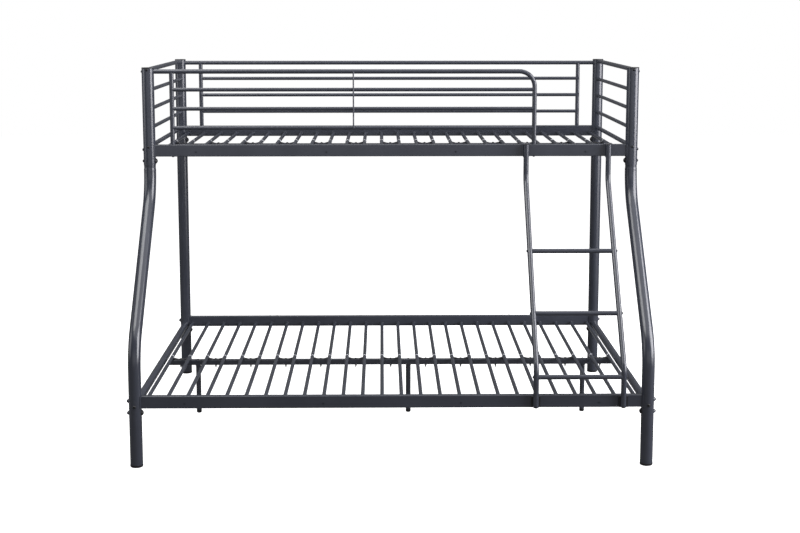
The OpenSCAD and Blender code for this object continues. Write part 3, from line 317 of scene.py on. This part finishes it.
def welds(name, seams, tube_radius, host_radius, bead_radius, seed):
    """Makes one plain mesh of the beads at all given seams, as a piece of the frame."""
    data = bpy.data.meshes.new(name)
    data.from_pydata([place for place, turn in seams], [], [])
    turns = data.attributes.new("turn", "FLOAT_VECTOR", "POINT")
    for item, (place, turn) in zip(turns.data, seams):
        item.vector = turn
    points = bpy.data.objects.new(name + "_points", data)
    scene.collection.objects.link(points)
    layer = points.modifiers.new("beads", "NODES")
    layer.node_group = WELDS
    values = {"Tube Radius": tube_radius, "Host Radius": host_radius, "Bead Radius": bead_radius,
              "Unevenness": BEAD_UNEVENNESS, "Seed": seed, "Finish": WELD}
    for item in WELDS.interface.items_tree:
        if item.item_type == "SOCKET" and item.in_out == "INPUT" and item.name in values:
            layer[item.identifier] = values[item.name]
    scene_state = bpy.context.evaluated_depsgraph_get()
    result = bpy.data.meshes.new_from_object(points.evaluated_get(scene_state))
    points.modifiers.remove(layer)
    bpy.data.objects.remove(points)
    bpy.data.meshes.remove(data)
    result.name = name
    piece = bpy.data.objects.new(name, result)
    scene.collection.objects.link(piece)
    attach(piece, "frame")


welds("end_panel_welds",
      [seam_at((side * POST_X, y, z), (0, way, 0))
       for side in (-1, 1) for z in RUNG_Z for y, way in ((Y_UPPER, 1), (Y_REAR, -1))],
      tube_radius=RUNG_R, host_radius=POST_R, bead_radius=PANEL_BEAD_R, seed=3)
welds("guard_welds",
      [seam_at((x, y, z), (way, 0, 0))
       for y, right_end in ((Y_UPPER, GUARD_RIGHT), (Y_REAR, -GUARD_LEFT)) for z in BAR_Z
       for x, way in ((GUARD_LEFT, 1), (right_end, -1))],
      tube_radius=GUARD_SEAM_R, host_radius=GUARD_POST_R, bead_radius=GUARD_BEAD_R, seed=5)
# The slats meet the flat inner faces of the rails, so their seams have no round host.
welds("slat_welds",
      [seam_at((x, y, z), (0, way, 0))
       for z, y_front in ((UPPER_SLAT_Z, Y_UPPER), (LOWER_SLAT_Z, Y_LOWER)) for x in SLATS
       for y, way in ((y_front + RAIL_HALF, 1), (Y_REAR - RAIL_HALF, -1))],
      tube_radius=SLAT_R, host_radius=0.0, bead_radius=SLAT_BEAD_R, seed=8)


# Room, light and camera

# Shares of their white that the walls and the floor show in reflections, and the walls' light
WALL_SHINE = 0.14
FLOOR_SHINE = 0.14
WALL_LIGHT = 0.1

# The floor's reach in metres, its glow, its tone to the eye and its tone in the light it returns
FLOOR_REACH = 14.0
FLOOR_GLOW = 0.95
FLOOR_TONE = 0.5
FLOOR_BOUNCE = 0.08

# Colours of the lamps' light
COOL_LIGHT = (0.97, 0.96, 1.0)
PALE_LIGHT = (0.98, 0.98, 1.0)

# The camera in millimetres, shares of the picture's width, metres and radians
SENSOR_WIDTH = 36.0
LENS = 63.670
SHIFT_SHARE = -0.075
CAMERA_X = -0.03935
CAMERA_DISTANCE = 6.9085
CAMERA_Z = 1.80293
CAMERA_TURN = -0.01305
CAMERA_TILT = 0.13895


def pale_floor():
    """A wide floor that shows white round the bed's shadow."""
    corners = [(x * FLOOR_REACH, y * FLOOR_REACH, 0)
               for x, y in ((-1, -1), (1, -1), (1, 1), (-1, 1))]
    data = bpy.data.meshes.new("floor")
    data.from_pydata(corners, [], [(0, 1, 2, 3)])
    floor = bpy.data.objects.new("floor", data)
    scene.collection.objects.link(floor)
    mat = bpy.data.materials.new("pale floor")
    mat.use_nodes = True
    data.materials.append(mat)
    tree = mat.node_tree
    tree.nodes.clear()
    out = placed(tree, "ShaderNodeOutputMaterial")
    path = placed(tree, "ShaderNodeLightPath")
    tone = placed(tree, "ShaderNodeMapRange", {"To Min": FLOOR_BOUNCE, "To Max": FLOOR_TONE})
    paint = placed(tree, "ShaderNodeBsdfDiffuse")
    shine = placed(tree, "ShaderNodeMath", {1: FLOOR_SHINE}, operation="MULTIPLY")
    seen = placed(tree, "ShaderNodeMath", operation="MAXIMUM")
    level = placed(tree, "ShaderNodeMath", {1: FLOOR_GLOW}, operation="MULTIPLY")
    glow = placed(tree, "ShaderNodeEmission")
    both = placed(tree, "ShaderNodeAddShader")
    joined(tree, (
        (path.outputs["Is Camera Ray"], tone.inputs["Value"]),
        (tone.outputs["Result"], paint.inputs["Color"]),
        (path.outputs["Is Glossy Ray"], shine.inputs[0]),
        (path.outputs["Is Camera Ray"], seen.inputs[0]),
        (shine.outputs[0], seen.inputs[1]),
        (seen.outputs[0], level.inputs[0]),
        (level.outputs[0], glow.inputs["Strength"]),
        (paint.outputs[0], both.inputs[0]),
        (glow.outputs[0], both.inputs[1]),
        (both.outputs[0], out.inputs["Surface"]),
    ))


def white_walls():
    """White to the eye, dim in reflections and dimmer in the light they give."""
    world = bpy.data.worlds.new("white room")
    scene.world = world
    world.use_nodes = True
    tree = world.node_tree
    back = tree.nodes["Background"]
    back.inputs["Color"].default_value = (1, 1, 1, 1)
    path = placed(tree, "ShaderNodeLightPath")
    seen = placed(tree, "ShaderNodeMath", operation="MAXIMUM")
    shine = placed(tree, "ShaderNodeMath", {1: WALL_SHINE - WALL_LIGHT, 2: WALL_LIGHT},
                   operation="MULTIPLY_ADD")
    level = placed(tree, "ShaderNodeMath", operation="MAXIMUM")
    joined(tree, (
        (path.outputs["Is Camera Ray"], seen.inputs[0]),
        (path.outputs["Is Transmission Ray"], seen.inputs[1]),
        (path.outputs["Is Glossy Ray"], shine.inputs[0]),
        (seen.outputs[0], level.inputs[0]),
        (shine.outputs[0], level.inputs[1]),
        (level.outputs[0], back.inputs["Strength"]),
    ))


def lamp(name, spot, target, size, power, colour=(1, 1, 1)):
    """A soft box of a size in metres and a power in watts that faces a point of the bed."""
    data = bpy.data.lights.new(name, "AREA")
    data.shape = "RECTANGLE"
    data.size, data.size_y = size
    data.energy = power
    data.color = colour
    light = bpy.data.objects.new(name, data)
    scene.collection.objects.link(light)
    light.location = spot
    way = Vector(target) - Vector(spot)
    light.rotation_euler = way.to_track_quat("-Z", "Y").to_euler()
    light.visible_camera = False


def photo_camera():
    """The photograph's camera, fitted to the posts, rails, guard bars, end rungs and slats."""
    data = bpy.data.cameras.new("camera")
    data.sensor_width = SENSOR_WIDTH
    data.lens = LENS
    data.shift_y = SHIFT_SHARE
    camera = bpy.data.objects.new("camera", data)
    scene.collection.objects.link(camera)
    level_ahead = Vector((-math.sin(CAMERA_TURN), math.cos(CAMERA_TURN), 0))
    ahead = level_ahead * math.cos(CAMERA_TILT) - Vector((0, 0, math.sin(CAMERA_TILT)))
    up = level_ahead * math.sin(CAMERA_TILT) + Vector((0, 0, math.cos(CAMERA_TILT)))
    right = Vector((math.cos(CAMERA_TURN), math.sin(CAMERA_TURN), 0))
    turn = Matrix((right, up, -ahead)).transposed()
    place = Matrix.Translation((CAMERA_X, Y_REAR - CAMERA_DISTANCE, CAMERA_Z))
    camera.matrix_world = place @ turn.to_4x4()
    scene.camera = camera


pale_floor()
white_walls()
lamp("right soft box", (5.1, -1.9, 2.9), target=(0, -0.2, 1.2), size=(4.2, 4.6), power=680,
     colour=COOL_LIGHT)
lamp("left soft box", (-5.2, -1.2, 2.0), target=(0, -0.2, 1.1), size=(2.6, 2.4), power=50,
     colour=PALE_LIGHT)
lamp("right floor strip", (4.9, -1.9, 0.35), target=(0, -0.6, 0.5), size=(3.8, 0.6), power=22,
     colour=COOL_LIGHT)
lamp("ceiling soft box", (-2.1, -1.1, 3.9), target=(-0.5, -0.3, 1.0), size=(3.0, 2.0), power=110)
lamp("overhead box", (0.3, -1.6, 4.3), target=(0.3, -1.6, 0), size=(5.0, 5.0), power=120,
     colour=PALE_LIGHT)
lamp("rear overhead box", (0, 3.6, 4.6), target=(0, 0.6, 1.0), size=(6.0, 3.0), power=150,
     colour=PALE_LIGHT)
lamp("front wall", (0, -6.4, 1.6), target=(0, 0, 1.6), size=(8.0, 2.4), power=45,
     colour=PALE_LIGHT)
photo_camera()
scene.view_settings.view_transform = "Standard"

bpy.context.view_layer.update()
